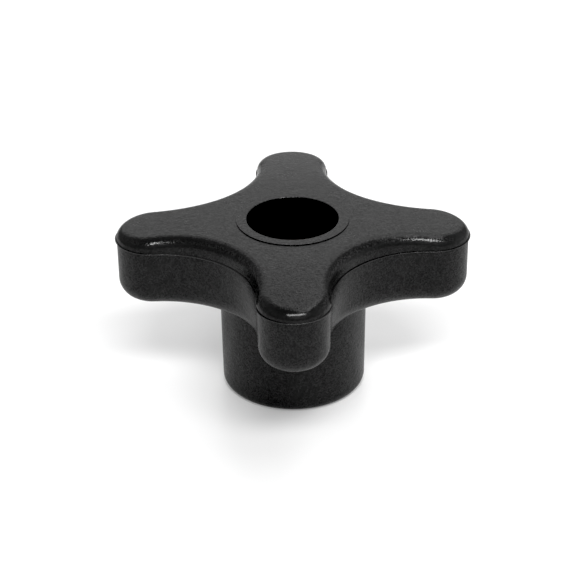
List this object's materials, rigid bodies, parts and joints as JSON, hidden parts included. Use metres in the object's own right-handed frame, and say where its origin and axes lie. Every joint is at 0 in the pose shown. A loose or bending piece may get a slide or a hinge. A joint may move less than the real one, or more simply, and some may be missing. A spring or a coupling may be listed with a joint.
{
  "type": "hand knob nut",
  "caption": "Lobed hand knob nut: a matte black moulded body on a round hub, with a threaded brass bush below a through recess. Turned by hand to clamp a threaded stud.",
  "frame": {"origin": "centre of the hub's base face, on the thread's axis", "axes": "+Z along the thread's axis from the hub's base to the lobes' crown; the lobes point along +X, +Y, -X and -Y"},
  "size_m": [0.0604, 0.0604, 0.0312],
  "materials": {
    "moulded_body": "fine spark-eroded matte grain, black glass-filled nylon",
    "bush_metal": "turned brass with a straight knurl outside and a cut thread inside"
  },
  "bodies": {
    "root": {"knob_body": "moulded_body", "threaded_bush": "bush_metal"}
  },
  "joints": []
}
